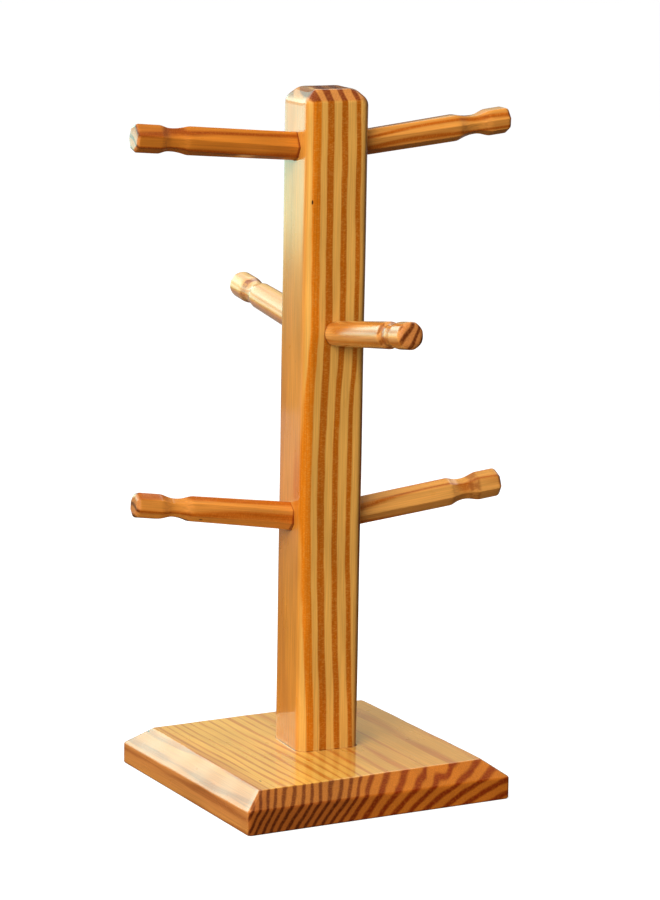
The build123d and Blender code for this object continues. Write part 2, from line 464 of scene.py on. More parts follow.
class Stain(EffectGroup):
    """Lays pine's colours over each other: early and late wood, paler on the side grain than on end grain."""

    title = "honey_stain"
    takes = {
        "Late Wood": (NUMBER, 0.0),
        "End Grain": (NUMBER, 0.0),
        "Streaks": (NUMBER, 0.5),
        "Blotches": (NUMBER, 0.5),
        "Flecks": (NUMBER, 0.5),
        "Pits": (NUMBER, 0.0),
        "Early": (TINT, (0.7, 0.4, 0.1, 1)),
        "Late": (TINT, (0.4, 0.1, 0.02, 1)),
        "End Early": (TINT, (0.6, 0.3, 0.08, 1)),
        "End Late": (TINT, (0.2, 0.04, 0.01, 1)),
    }
    gives = {"Colour": TINT}
    pit_colour = paint(62, 28, 10)
    most_speckle = 0.28
    fine_shade = (0.86, 1.1)
    slow_shade = (0.93, 1.06)

    def lay_out(self, bench: NodeBench, taken: Any) -> dict[str, Socket]:
        """See the class.

        Args:
            bench: Bench of the group's own nodes.
            taken: Sockets that the group takes, by name.

        Returns:
            The socket that gives each output.
        """
        early = bench.mixed(taken["End Grain"], taken["Early"], taken["End Early"])
        late = bench.mixed(taken["End Grain"], taken["Late"], taken["End Late"])
        speckle = bench.ramp(taken["Flecks"], 0.42, 0.7, 0.0, self.most_speckle)
        softened = bench.sum("MULTIPLY", taken["Late Wood"], bench.sum("SUBTRACT", 1.0, speckle))
        wood = bench.mixed(softened, early, late)
        fine = bench.ramp(taken["Streaks"], 0.3, 0.72, *self.fine_shade)
        slow = bench.ramp(taken["Blotches"], 0.3, 0.7, *self.slow_shade)
        value = bench.sum("MULTIPLY", fine, slow)
        shaded = bench.add("ShaderNodeHueSaturation", {"Value": value, "Color": wood}).outputs[0]
        return {"Colour": bench.mixed(taken["Pits"], shaded, self.pit_colour)}


class Lacquer(EffectGroup):
    """A brushed and rubbed gloss lacquer: slow ripples, orange peel, dust nibs and handling haze."""

    title = "gloss_lacquer"
    takes = {"Point": (POINT, None), "Late Wood": (NUMBER, 0.0), "Streaks": (NUMBER, 0.5)}
    gives = {"Roughness": NUMBER, "Height": NUMBER}
    haze_waves = (0.06, 0.06, 0.03)
    peel_waves = (0.35, 0.35, 0.12)
    ripple_waves = (0.05, 0.05, 0.015)
    peel_height = 0.02
    ripple_height = 0.25
    fibre_height = 0.012
    roughness = (0.26, 0.4)

    def lay_out(self, bench: NodeBench, taken: Any) -> dict[str, Socket]:
        """See the class. Heights are in millimetres.

        Args:
            bench: Bench of the group's own nodes.
            taken: Sockets that the group takes, by name.

        Returns:
            The socket that gives each output.
        """
        point = taken["Point"]
        haze = bench.noise(point, self.haze_waves, 3.0)
        height = bench.sum("MULTIPLY", bench.noise(point, self.peel_waves, 1.0), self.peel_height)
        for rise, most in (
            (bench.noise(point, self.ripple_waves, 1.0), self.ripple_height),
            (taken["Late Wood"], self.fibre_height),
            (taken["Streaks"], self.fibre_height),
        ):
            height = bench.sum("MULTIPLY_ADD", rise, most, height)
        return {"Roughness": bench.ramp(haze, 0.3, 0.75, *self.roughness), "Height": height}


# ---------------------------------------------------------------- finishes


@dataclass(frozen=True)
class Pine:
    """Lacquered pine. Subclasses say how the year rings run through a piece.

    Attributes:
        title: Name of the finish.
        place: Where the piece's own axes lie, with Z along the grain.
        early: Early wood on the side grain.
        late: Late wood on the side grain.
        end_early: Early wood on end grain.
        end_late: Late wood on end grain.
        late_share: Share of a ring that is late wood.
        softness: How far a ring's edges fade, as a share of a ring.
        rubbed: Roughness of the lacquer: more where it was rubbed down more.
    """

    title: str
    place: Place
    early: Colour = paint(226, 158, 74)
    late: Colour = paint(178, 84, 12)
    end_early: Colour = paint(206, 130, 62)
    end_late: Colour = paint(112, 42, 10)
    late_share: float = 0.4
    softness: float = 0.08
    rubbed: float = 0.07

    def ring(self, bench: NodeBench, point: Socket) -> Socket:
        """Ring number at a point in the piece's own axes, in millimetres."""
        raise NotImplementedError

    def share(self, bench: NodeBench, point: Socket, ring: Socket) -> Any:
        """Share of a ring that is late wood."""
        return self.late_share

    def tints(self, bench: NodeBench, point: Socket, ring: Socket) -> dict[str, Any]:
        """The four colours that the stain lays over each other."""
        names = ("Early", "Late", "End Early", "End Late")
        return dict(zip(names, (self.early, self.late, self.end_early, self.end_late)))

    def touch(self, bench: NodeBench, point: Socket, colour: Socket) -> Socket:
        """A last touch of colour that only this piece has."""
        return colour

    def material(self) -> bpy.types.Material:
        """Builds the finish.

        Returns:
            The material.
        """
        made = bpy.data.materials.new(self.title)
        made.use_nodes = True
        bench = NodeBench(made.node_tree)
        shader = made.node_tree.nodes["Principled BSDF"]
        origin = [length * MM for length in self.place.origin]
        point = bench.add(
            "ShaderNodeMapping",
            {
                "Vector": bench.add("ShaderNodeTexCoord").outputs["Object"],
                "Location": origin,
                "Rotation": self.place.turn(),
                "Scale": (MM, MM, MM),
            },
            vector_type="TEXTURE",
        ).outputs[0]
        normal = bench.add("ShaderNodeNewGeometry").outputs["Normal"]
        facing = bench.towards(normal, self.place.along)
        end_grain = bench.ramp(bench.sum("ABSOLUTE", facing), *END_GRAIN)
        ring = self.ring(bench, point)
        years = bench.place(
            AnnualRings().build(),
            {"Ring": ring, "Late Share": self.share(bench, point, ring), "Softness": self.softness},
        )
        fibre = bench.place(WoodFibre().build(), {"Point": point})
        stain = bench.place(
            Stain().build(),
            {
                "Late Wood": years.outputs["Late Wood"],
                "End Grain": end_grain,
                **{name: fibre.outputs[name] for name in WoodFibre.gives},
                **self.tints(bench, point, ring),
            },
        )
        coat = bench.place(
            Lacquer().build(),
            {"Point": point, "Late Wood": years.outputs["Late Wood"], "Streaks": fibre.outputs["Streaks"]},
        )
        relief = {"Height": coat.outputs["Height"], "Distance": MM, "Strength": 1.0}
        bump = bench.add("ShaderNodeBump", relief)
        bench.feed(shader.inputs["Base Color"], self.touch(bench, point, stain.outputs["Colour"]))
        bench.feed(shader.inputs["Roughness"], coat.outputs["Roughness"])
        bench.feed(shader.inputs["Normal"], bump.outputs["Normal"])
        fixed = {"Specular IOR Level": 0.2, "Coat Weight": 1.0, "Coat IOR": 1.5}
        for name, value in {**fixed, "Coat Roughness": self.rubbed}.items():
            shader.inputs[name].default_value = value
        return made


@dataclass(frozen=True)
class BoardPine(Pine):
    """A board whose year rings curve round a pith below its right edge.

    The ring number is a smooth curve of the distance from the pith: wide rings near it, where the
    tree was young, and narrow ones far from it.

    Attributes:
        pith_x: Place of the pith across the board.
        pith_z: Its height.
        bud_x: Place of the healed bud across the board.
        bud_z: Its height.
        bud_reach: How far round it the rings are pushed.
        bud_push: How far they are pushed beside it.
        bud_waves: Radians of the push for each millimetre.
        drift: How far a ring strays slowly, and over a few millimetres.
        counted: Ring numbers at chosen distances from the pith.
        broken: Least and most late wood where the rings are cut along.
        matures: Ring numbers between which young wood becomes old.
        young: Young early and late wood on the side grain, then on end grain.
        browns: Ring numbers between which the outermost wood begins.
        outermost: Its early and late wood on the side grain.
    """

    pith_x: float = 94.0
    pith_z: float = -88.0
    bud_x: float = 37.0
    bud_z: float = 19.0
    bud_reach: float = 14.0
    bud_push: float = 1.5
    bud_waves: float = 0.42
    drift: tuple[float, float] = (1.6, 0.4)
    counted: tuple[tuple[float, float], ...] = (
        (84, 0.0), (103, 3.0), (131, 7.5), (144, 9.5), (152, 11.5), (170, 16.0), (196, 23.0),
    )
    broken: tuple[float, float] = (0.1, 0.46)
    matures: tuple[float, float] = (6.0, 13.0)
    young: tuple[Colour, ...] = (
        paint(226, 156, 66), paint(204, 112, 40), paint(198, 108, 28), paint(130, 38, 0),
    )
    browns: tuple[float, float] = (19.0, 22.5)
    outermost: tuple[Colour, Colour] = (paint(206, 130, 64), paint(174, 100, 46))

    def ring(self, bench: NodeBench, point: Socket) -> Socket:
        """See the class. Two noises, a slow one and a fine one, make the distance uneven.

        Args:
            bench: Bench of the finish's nodes.
            point: The point in the piece's own axes, in millimetres.

        Returns:
            The ring number.
        """
        across, down, _ = bench.split(point)
        far, near = self.drift
        slow = bench.ramp(bench.noise(point, (0.025, 0.025, 0.006), 1.0), *NOISE_SPAN, -far, far)
        dx = bench.sum("SUBTRACT", across, self.pith_x)
        dz = bench.sum("ADD", down, self.pith_z)
        squares = bench.sum("ADD", bench.sum("MULTIPLY", dx, dx), bench.sum("MULTIPLY", dz, dz))
        reach = bench.sum("ADD", bench.sum("SQRT", squares), slow)
        fine = bench.ramp(bench.noise(point, (0.12, 0.12, 0.02), 2.0), *NOISE_SPAN, -near, near)
        reach = bench.sum("ADD", reach, fine)
        reach = bench.sum("ADD", reach, self.swirl(bench, across, down))
        return bench.curve(reach, self.counted)

    def swirl(self, bench: NodeBench, across: Socket, down: Socket) -> Socket:
        """A bud that healed over pushes the rings aside near the right end of the board.

        The push is a wave of the distance to the right of the bud, which dies away all round it.

        Args:
            bench: Bench of the finish's nodes.
            across: Distance across the board.
            down: Distance below the board's underside, so less than nothing inside it.

        Returns:
            How far the rings are pushed.
        """
        right = bench.sum("SUBTRACT", across, self.bud_x)
        deep = bench.sum("ADD", down, self.bud_z)
        far = bench.sum("MULTIPLY_ADD", right, right, bench.sum("MULTIPLY", deep, deep))
        fade = bench.ramp(bench.sum("SQRT", far), 1.0, self.bud_reach, self.bud_push, 0.0)
        wave = bench.sum("SINE", bench.sum("MULTIPLY", right, self.bud_waves))
        return bench.sum("MULTIPLY", fade, wave)

    def share(self, bench: NodeBench, point: Socket, ring: Socket) -> Any:
        """Late wood is even on the end grain, and thinner and broken where the rings are cut along.

        Args:
            bench: Bench of the finish's nodes.
            point: The point in the piece's own axes, in millimetres.
            ring: The ring number there.

        Returns:
            Share of a ring that is late wood.
        """
        normal = bench.add("ShaderNodeNewGeometry").outputs["Normal"]
        facing = bench.sum("ABSOLUTE", bench.towards(normal, self.place.along))
        broken = bench.ramp(bench.noise(point, (0.22, 0.22, 0.018), 3.0), 0.32, 0.68, *self.broken)
        room = bench.sum("SUBTRACT", self.late_share, broken)
        return bench.sum("MULTIPLY_ADD", room, bench.ramp(facing, *END_GRAIN), broken)

    def tints(self, bench: NodeBench, point: Socket, ring: Socket) -> dict[str, Any]:
        """The wood near the pith is deeper and more orange, and the outermost rings are browner.

        Args:
            bench: Bench of the finish's nodes.
            point: The point in the piece's own axes, in millimetres.
            ring: The ring number there.

        Returns:
            The four colours that the stain takes, by name.
        """
        old = bench.ramp(ring, *self.matures)
        grown = super().tints(bench, point, ring)
        tints = {name: bench.mixed(old, young, grown[name]) for name, young in zip(grown, self.young)}
        outer = bench.ramp(ring, *self.browns)
        for name, colour in zip(("Early", "Late"), self.outermost):
            tints[name] = bench.mixed(outer, tints[name], colour)
        return tints


@dataclass(frozen=True)
class PostPine(Pine):
    """A quarter-sawn bar: its year rings are almost flat sheets that wander a little along the bar.

    Attributes:
        tilt: How far a sheet leans sideways for each millimetre towards the back, at the front.
        bend: How fast that lean changes.
        pitch: Width of a ring.
        first: Middle of the first whole late wood, across the bar.
        front: Distance from the bar's axis to its front face.
        wander: How far the sheets lie to the right at chosen heights.
        shake: How far they stray over a few millimetres.
        shares: Share of late wood in the leftmost rings and in the rightmost.
        orange_late: Late wood of the ring nearest the left face.
        tan_late: Late wood beyond it.
        left_face_tan_and_shade: Early wood at the left face, partly the wood's own tan and partly painted
            light for how that face is lit.
        painted_shade_colour: Colour of the painted shade on the front right corner.
        painted_shade_most: How much of the painted shade there is at most.
    """

    tilt: float = -0.2
    bend: float = 0.013
    pitch: float = 7.55
    first: float = -12.5
    front: float = 17.0
    orange_late: Colour = paint(206, 111, 2)
    tan_late: Colour = paint(212, 136, 54)
    left_face_tan_and_shade: Colour = paint(222, 146, 56)
    wander: tuple[tuple[float, float], ...] = (
        (20, 1.7), (40, 1.2), (70, 0.0), (100, -0.9), (130, -1.6), (160, -1.85),
        (195, -1.4), (225, 0.1), (250, 0.7), (300, 0.4), (358, 0.1),
    )
    shake: float = 0.4
    shares: tuple[float, float] = (0.56, 0.34)
    # Painted shade on the front right corner: its colour and how much of it is mixed in at most.
    painted_shade_colour: Colour = paint(88, 50, 40)
    painted_shade_most: float = 0.55

    def sheet(self, bench: NodeBench, point: Socket) -> Socket:
        """Distance across the sheets at a point.

        It is x, less the wander at this height, less a parabola of the distance behind the front face.

        Args:
            bench: Bench of the finish's nodes.
            point: The point in the piece's own axes, in millimetres.

        Returns:
            The distance in millimetres.
        """
        across, depth, height = bench.split(point)
        wander = bench.curve(height, self.wander)
        stray = bench.noise(point, (0.1, 0.1, 0.03), 2.0)
        shake = bench.ramp(stray, *NOISE_SPAN, -self.shake, self.shake)
        level = bench.sum("SUBTRACT", bench.sum("SUBTRACT", across, wander), shake)
        behind = bench.sum("ADD", depth, self.front)
        slope = bench.sum("MULTIPLY_ADD", behind, -self.bend, -self.tilt)
        return bench.sum("MULTIPLY_ADD", behind, slope, level)

    def ring(self, bench: NodeBench, point: Socket) -> Socket:
        """Distance beyond the middle of the first late wood, over the pitch, and a half.

        Args:
            bench: Bench of the finish's nodes.
            point: The point in the piece's own axes, in millimetres.

        Returns:
            The ring number.
        """
        beyond = bench.sum("SUBTRACT", self.sheet(bench, point), self.first)
        return bench.sum("ADD", bench.sum("DIVIDE", beyond, self.pitch), 0.5)

    def share(self, bench: NodeBench, point: Socket, ring: Socket) -> Any:
        """Late wood takes less of a ring from one side of the bar to the other."""
        return bench.ramp(ring, 0.5, 4.0, *self.shares)

    def touch(self, bench: NodeBench, point: Socket, colour: Socket) -> Socket:
        """Painted shade: the rounded corner at the front right is darkened in the wood's colour, in place of
        the shade that falls there.

        Args:
            bench: Bench of the finish's nodes.
            point: The point in the piece's own axes, in millimetres.
            colour: The stained wood's colour.

        Returns:
            The colour with the touch on it.
        """
        across, depth, _ = bench.split(point)
        # Painted shade: darkens the front right rounded corner, fully at the front and fading out a few
        # millimetres behind it.
        corner = bench.ramp(across, 13.4, 15.2, 0.0, self.painted_shade_most)
        corner = bench.sum("MULTIPLY", corner, bench.ramp(depth, -12.0, -9.5, 1.0, 0.0))
        return bench.mixed(corner, colour, self.painted_shade_colour)

    def tints(self, bench: NodeBench, point: Socket, ring: Socket) -> dict[str, Any]:
        """The ring nearest the left face is more orange than the others, and the one beyond it tan.

        Args:
            bench: Bench of the finish's nodes.
            point: The point in the piece's own axes, in millimetres.
            ring: The ring number there.

        Returns:
            The four colours that the stain takes, by name.
        """
        tints = super().tints(bench, point, ring)
        # The left face's early wood turns tan: partly the wood's own tone, partly painted light for how that
        # face is lit.
        leftmost = bench.ramp(bench.split(point)[0], -16.9, -15.4, 1.0, 0.0)
        tints["Early"] = bench.mixed(leftmost, self.early, self.left_face_tan_and_shade)
        outer = bench.mixed(bench.ramp(ring, -0.05, 0.15), self.tan_late, self.orange_late)
        tints["Late"] = bench.mixed(bench.ramp(ring, 0.9, 1.1), outer, self.late)
        return tints


@dataclass(frozen=True)
class PegPine(Pine):
    """A shaved dowel: flat year rings across it at one angle, and a dark line where it enters the post.

    Attributes:
        angle: Direction across the rings, in degrees from the side.
        pitch: Width of a ring.
        start: Ring number on the peg's axis.
        collar: Place, half width and strength of a band where resin and lacquer have gathered.
        root_line: Colour of the line at the root.
        resin: Colour of the band's patches.
    """

    early: Colour = paint(218, 138, 54)
    late: Colour = paint(180, 88, 8)
    end_early: Colour = paint(206, 128, 62)
    end_late: Colour = paint(104, 44, 6)

    angle: float = 40.0
    pitch: float = 4.2
    start: float = 0.2
    collar: tuple[float, float, float] = (70.0, 1.5, 0.0)
    root_line: Colour = paint(120, 38, 8)
    resin: Colour = paint(136, 58, 10)

    def ring(self, bench: NodeBench, point: Socket) -> Socket:
        """Distance across the dowel at the angle, over the pitch, with a slow wander along it.

        Args:
            bench: Bench of the finish's nodes.
            point: The point in the piece's own axes, in millimetres.

        Returns:
            The ring number.
        """
        side, up, _ = bench.split(point)
        wander = bench.ramp(bench.noise(point, (0.07, 0.07, 0.009), 1.0), *NOISE_SPAN, -0.4, 0.4)
        turned = math.radians(self.angle)
        across = bench.sum("MULTIPLY", side, math.cos(turned) / self.pitch)
        across = bench.sum("MULTIPLY_ADD", up, math.sin(turned) / self.pitch, across)
        return bench.sum("ADD", bench.sum("ADD", across, wander), self.start)

    def touch(self, bench: NodeBench, point: Socket, colour: Socket) -> Socket:
        """Lacquer gathers in a thin red-brown line at the root, and in patches round the collar.

        Args:
            bench: Bench of the finish's nodes.
            point: The point in the piece's own axes, in millimetres.
            colour: The stained wood's colour.

        Returns:
            The colour with the touch on it.
        """
        along = bench.split(point)[2]
        line = bench.ramp(along, 0.5, 1.5, 0.85, 0.0)
        rooted = bench.mixed(line, colour, self.root_line)
        place, half_width, strength = self.collar
        away = bench.sum("ABSOLUTE", bench.sum("SUBTRACT", along, place))
        band = bench.ramp(away, half_width * 0.4, half_width, strength, 0.0)
        patches = bench.ramp(bench.noise(point, (0.3, 0.3, 0.3), 2.0), 0.35, 0.6, 0.25, 1.0)
        return bench.mixed(bench.sum("MULTIPLY", band, patches), rooted, self.resin)


@dataclass(frozen=True)
class ScrewSteel:
    """Zinc-plated steel, turned and a little dulled."""

    title: str = "screw_steel"

    def material(self) -> bpy.types.Material:
        """Builds the finish.

        Returns:
            The material.
        """
        made = bpy.data.materials.new(self.title)
        made.use_nodes = True
        bench = NodeBench(made.node_tree)
        shader = made.node_tree.nodes["Principled BSDF"]
        place = bench.add("ShaderNodeTexCoord").outputs["Object"]
        cloud = bench.noise(place, (700, 700, 700), 3.0)
        lines = bench.noise(place, (2600, 2600, 9000), 2.0)
        tint = bench.mixed(bench.ramp(cloud, 0.3, 0.7), paint(196, 186, 160), paint(214, 208, 196))
        bench.feed(shader.inputs["Base Color"], tint)
        bench.feed(shader.inputs["Roughness"], bench.ramp(cloud, 0.3, 0.7, 0.24, 0.4))
        bump = bench.add("ShaderNodeBump", {"Height": lines, "Distance": 0.02 * MM, "Strength": 1.0})
        bench.feed(shader.inputs["Normal"], bump.outputs["Normal"])
        shader.inputs["Metallic"].default_value = 1.0
        return made


def hand_over(piece: bpy.types.Object, finish: Any, node: str) -> bpy.types.Object:
    """Gives a finished piece its finish and its body, and hides the CAD node that it stands for.

    Args:
        piece: The piece.
        finish: What its material is made from.
        node: The CAD node.

    Returns:
        The same piece.
    """
    piece.data.materials.append(finish.material())
    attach(piece, BODY)
    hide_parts(node)
    LOG.info("%s: %d faces", piece.name, len(piece.data.polygons))
    return piece


POST_CENTRE = (2.45, 2.48)
CORNER_SIGNS = np.array([[-1, -1], [1, -1], [1, 1], [-1, 1]])


# ---------------------------------------------------------------- board


@dataclass(frozen=True)
class Chamfer:
    """One sloping edge of the board, planed by hand, so its ends differ."""

    run: tuple[float, float]
    drop: tuple[float, float]


@dataclass
class BaseBoard:
    """The square board, its four chamfers and the countersunk hole under it.

    Sides and corners go round from the front left corner: front, right, back, left.

    Attributes:
        cone: Heights between which the hole narrows from its mouth.
        inset: How far inside its edge the underside's holding ring lies.
        foot: Height at which the sides begin to be upright.
        waver: Each wave's height in millimetres, its number round the board and where it starts.
        edge_ease: Ease of each ring that build() carries round, in its order.
    """

    node: str = "base_board"
    chamfers: tuple[Chamfer, ...] = (
        Chamfer((8.8, 10.1), (7.5, 8.6)),
        Chamfer((11.5, 11.5), (8.4, 8.4)),
        Chamfer((9.3, 11.2), (7.6, 9.1)),
        Chamfer((12.3, 10.4), (9.3, 7.9)),
    )
    upright_ease: tuple[float, ...] = (1.8, 2.2, 3.0, 2.6)
    top_ease: tuple[float, ...] = (1.2, 1.6, 1.6, 1.6)
    mouth_r: float = 5.05
    hole_r: float = 2.85
    cone: tuple[float, float] = (1.95, 4.08)
    side_steps: int = 34
    corner_steps: int = 9
    hole_centre: tuple[float, float] = POST_CENTRE
    inset: float = 0.5
    foot: float = 0.6
    waver: tuple[tuple[float, float, float], ...] = ((0.14, 9, 1.0), (0.1, 23, 0.0))
    edge_ease: tuple[float, ...] = (0.3, 0, 0.25, 0.25, 0.8, 0.7, 0, 0.2, 0.2, 0.2)

    def __post_init__(self) -> None:
        """Takes the board's size from the CAD node."""
        low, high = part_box(self.node)
        self.half = np.array([high.x - low.x, high.y - low.y]) / 2 / MM
        self.top = high.z / MM

    def corners(self) -> np.ndarray:
        """The block's four upright corners."""
        return CORNER_SIGNS * self.half

    def top_corners(self) -> np.ndarray:
        """Corners of the top face, each where two neighbouring chamfers' upper edges cross.

        Returns:
            Four corners by x and y.
        """
        corners = self.corners()
        inward = np.array([[0, 1], [-1, 0], [0, -1], [1, 0]], float)
        ends = np.roll(corners, -1, axis=0)
        runs = np.array([chamfer.run for chamfer in self.chamfers])
        first = corners + inward * runs[:, :1]
        direction = ends + inward * runs[:, 1:] - first
        before, along = np.roll(first, 1, axis=0), np.roll(direction, 1, axis=0)
        system = np.stack([along, -direction], axis=-1)
        share = np.linalg.solve(system, (first - before)[..., None])[:, 0]
        return before + along * share

    def drops(self) -> np.ndarray:
        """How far below the top the chamfer's lower edge lies, at each point of the outline.

        Along a side it goes evenly from one end's drop to the other's, and so it does round a corner.

        Returns:
            One drop for each point.
        """
        drop = np.array([chamfer.drop for chamfer in self.chamfers])
        t = np.linspace(0, 1, self.corner_steps)[None]
        u = np.linspace(0, 1, self.side_steps + 2)[1:-1][None]
        arrival = np.roll(drop[:, 1], 1)[:, None]
        bend = arrival * (1 - t) + drop[:, :1] * t
        side = drop[:, :1] * (1 - u) + drop[:, 1:] * u
        return np.concatenate([bend, side], axis=1).reshape(-1)

    def outline(self, corners: np.ndarray, ease: Sequence[float]) -> np.ndarray:
        """An outline of the board with the board's own steps."""
        return soft_outline(corners, ease, self.side_steps, self.corner_steps)

    def build(self) -> bpy.types.Object:
        """Makes the board.

        The skin is a loop carried round the outline: across the underside, up the side, up the
        chamfer, in over the top and down through the screw hole. Hand planing leaves the chamfer's
        edges a few tenths of a millimetre out of straight, which is a sum of two sines round the
        outline.

        Returns:
            The finished piece.
        """
        block = self.outline(self.corners(), self.upright_ease)
        flat = self.outline(self.top_corners(), self.top_ease)
        turn = np.linspace(0, TAU, len(block), endpoint=False)
        waver = sum(height * np.sin(waves * turn + start) for height, waves, start in self.waver)
        centre = np.array(self.hole_centre)
        heading = block - centre
        heading /= np.linalg.norm(heading, axis=1, keepdims=True)
        flat = flat + heading * waver[:, None]
        mouth, hole = centre + heading * self.mouth_r, centre + heading * self.hole_r
        inset = block - heading * self.inset
        lower_edge = self.top - self.drops() + 0.6 * waver
        rings = [
            raise_to(mouth, 0),
            raise_to((mouth + inset) / 2, 0),
            raise_to(inset, 0),
            raise_to(block, self.foot),
            raise_to(block, lower_edge),
            raise_to(flat, self.top),
            raise_to((hole + flat) / 2, self.top),
            raise_to(hole, self.top),
            raise_to(hole, self.cone[1]),
            raise_to(mouth, self.cone[0]),
        ]
        rows = eased_rings(rings, self.edge_ease, looped=True)
        piece = skin("mug_tree_base_board", rows, looped=True)
        place = Place((0, 0, 0), Vector((1, 0, 0)), Vector((0, 0, -1)), Vector((0, 1, 0)))
        finish = BoardPine(
            "board_pine",
            place,
            early=paint(244, 186, 84),
            late=paint(206, 122, 40),
            end_early=paint(164, 86, 28),
            end_late=paint(84, 26, 2),
            late_share=0.44,
            softness=0.12,
        )
        return hand_over(piece, finish, self.node)


# ---------------------------------------------------------------- post


@dataclass
class Post:
    """The upright bar: rounded corners, a chamfered top and a bead of lacquer round its foot.

    Attributes:
        run: How far the top's chamfer comes in.
        drop: How far it comes down.
        bead: How far the bead stands out at each height above the foot.
        sway: How far the faces are out of true.
        sway_length: Height over which that changes.
        sharp: Ease of the chamfer's lower and upper edge at the front.
        worn: What is added to it at the back and on the right, which were sanded more.
    """

    node: str = "post"
    width: float = 34.1
    depth: float = 33.9
    corner: float = 5.2
    run: float = 6.0
    drop: float = 5.5
    top_corner: float = 2.4
    turn: float = -4.9
    bead: tuple[tuple[float, float], ...] = ((0.45, 0.0), (0.24, 0.1), (0.08, 0.3), (0.0, 0.8))
    sway: float = 0.06
    sway_length: float = 17.0
    sharp: tuple[float, float] = (1.0, 0.9)
    worn: tuple[float, float] = (2.1, 1.9)
    centre: tuple[float, float] = POST_CENTRE
    rows: int = 46
    side_steps: int = 16
    corner_steps: int = 12

    def __post_init__(self) -> None:
        """Takes the bar's height from the CAD node."""
        low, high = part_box(self.node)
        self.foot = low.z / MM
        self.top = high.z / MM
        turned = Matrix.Rotation(math.radians(self.turn), 3, "Z")
        self.place = Place(
            (*self.centre, 0.0),
            turned @ Vector((1, 0, 0)),
            turned @ Vector((0, 1, 0)),
            Vector((0, 0, 1)),
        )

    def outline(self, grow: float, ease: float) -> np.ndarray:
        """Outline of the bar, grown on every side.

        Args:
            grow: How far it is grown.
            ease: How far each corner is cut back.

        Returns:
            Points by two coordinates, in the bar's own axes.
        """
        half = np.array([self.width, self.depth]) / 2 + grow
        return soft_outline(CORNER_SIGNS * half, [ease] * 4, self.side_steps, self.corner_steps)

    def wear(self, bar: np.ndarray) -> np.ndarray:
        """How much the crown's edges are worn at each point of the outline.

        It climbs in an S from 0 at the front to 1 at three tenths of the way back, and likewise over
        a few millimetres near the right face. The larger of the two holds.

        Args:
            bar: The bar's outline.

        Returns:
            One share for each point, 0 to 1.
        """
        backwards = (bar[:, 1] / self.depth + 0.5) / 0.3
        rightwards = (bar[:, 0] - 11.5) / 3.5
        share = np.clip(np.maximum(backwards, rightwards), 0, 1)
        return share * share * (3 - 2 * share)

    def build(self) -> bpy.types.Object:
        """Makes the post.

        The outline is carried straight up. Sanding leaves it a little out of true: a sine of the
        height that shifts with the direction it faces.

        Returns:
            The finished piece.
        """
        bar = self.outline(0, self.corner)
        edge = self.top - self.drop
        flat = self.outline(-self.run, self.top_corner)
        bead = [raise_to(self.outline(grow, self.corner + grow), self.foot + rise)
                for grow, rise in self.bead]
        heights = np.linspace(self.foot + 2.0, edge - 5.0, self.rows)
        heading = np.arctan2(bar[:, 1], bar[:, 0])
        sway = self.sway * np.sin(heights[:, None] / self.sway_length + 3 * heading[None])
        outward = bar / np.linalg.norm(bar, axis=1, keepdims=True)
        body = [raise_to(bar + outward * shift[:, None], height) for height, shift in zip(heights, sway)]
        wear = self.wear(bar)
        lower, upper = (sharp + worn * wear for sharp, worn in zip(self.sharp, self.worn))
        crown = eased_rings(
            [body[-1], raise_to(bar, edge), raise_to(flat, self.top), raise_to(flat * 0.1, self.top)],
            (0, lower, upper, 0),
        )
        rows = np.concatenate([np.stack(bead + body[:-1]), crown])
        piece = skin("mug_tree_post", self.place.put(rows))
        finish = PostPine(
            "post_pine",
            self.place,
            early=paint(224, 165, 78),
            late=paint(176, 90, 0),
            end_early=paint(196, 124, 56),
            end_late=paint(120, 46, 0),
            softness=0.07,
        )
        return hand_over(piece, finish, self.node)


# ---------------------------------------------------------------- pegs


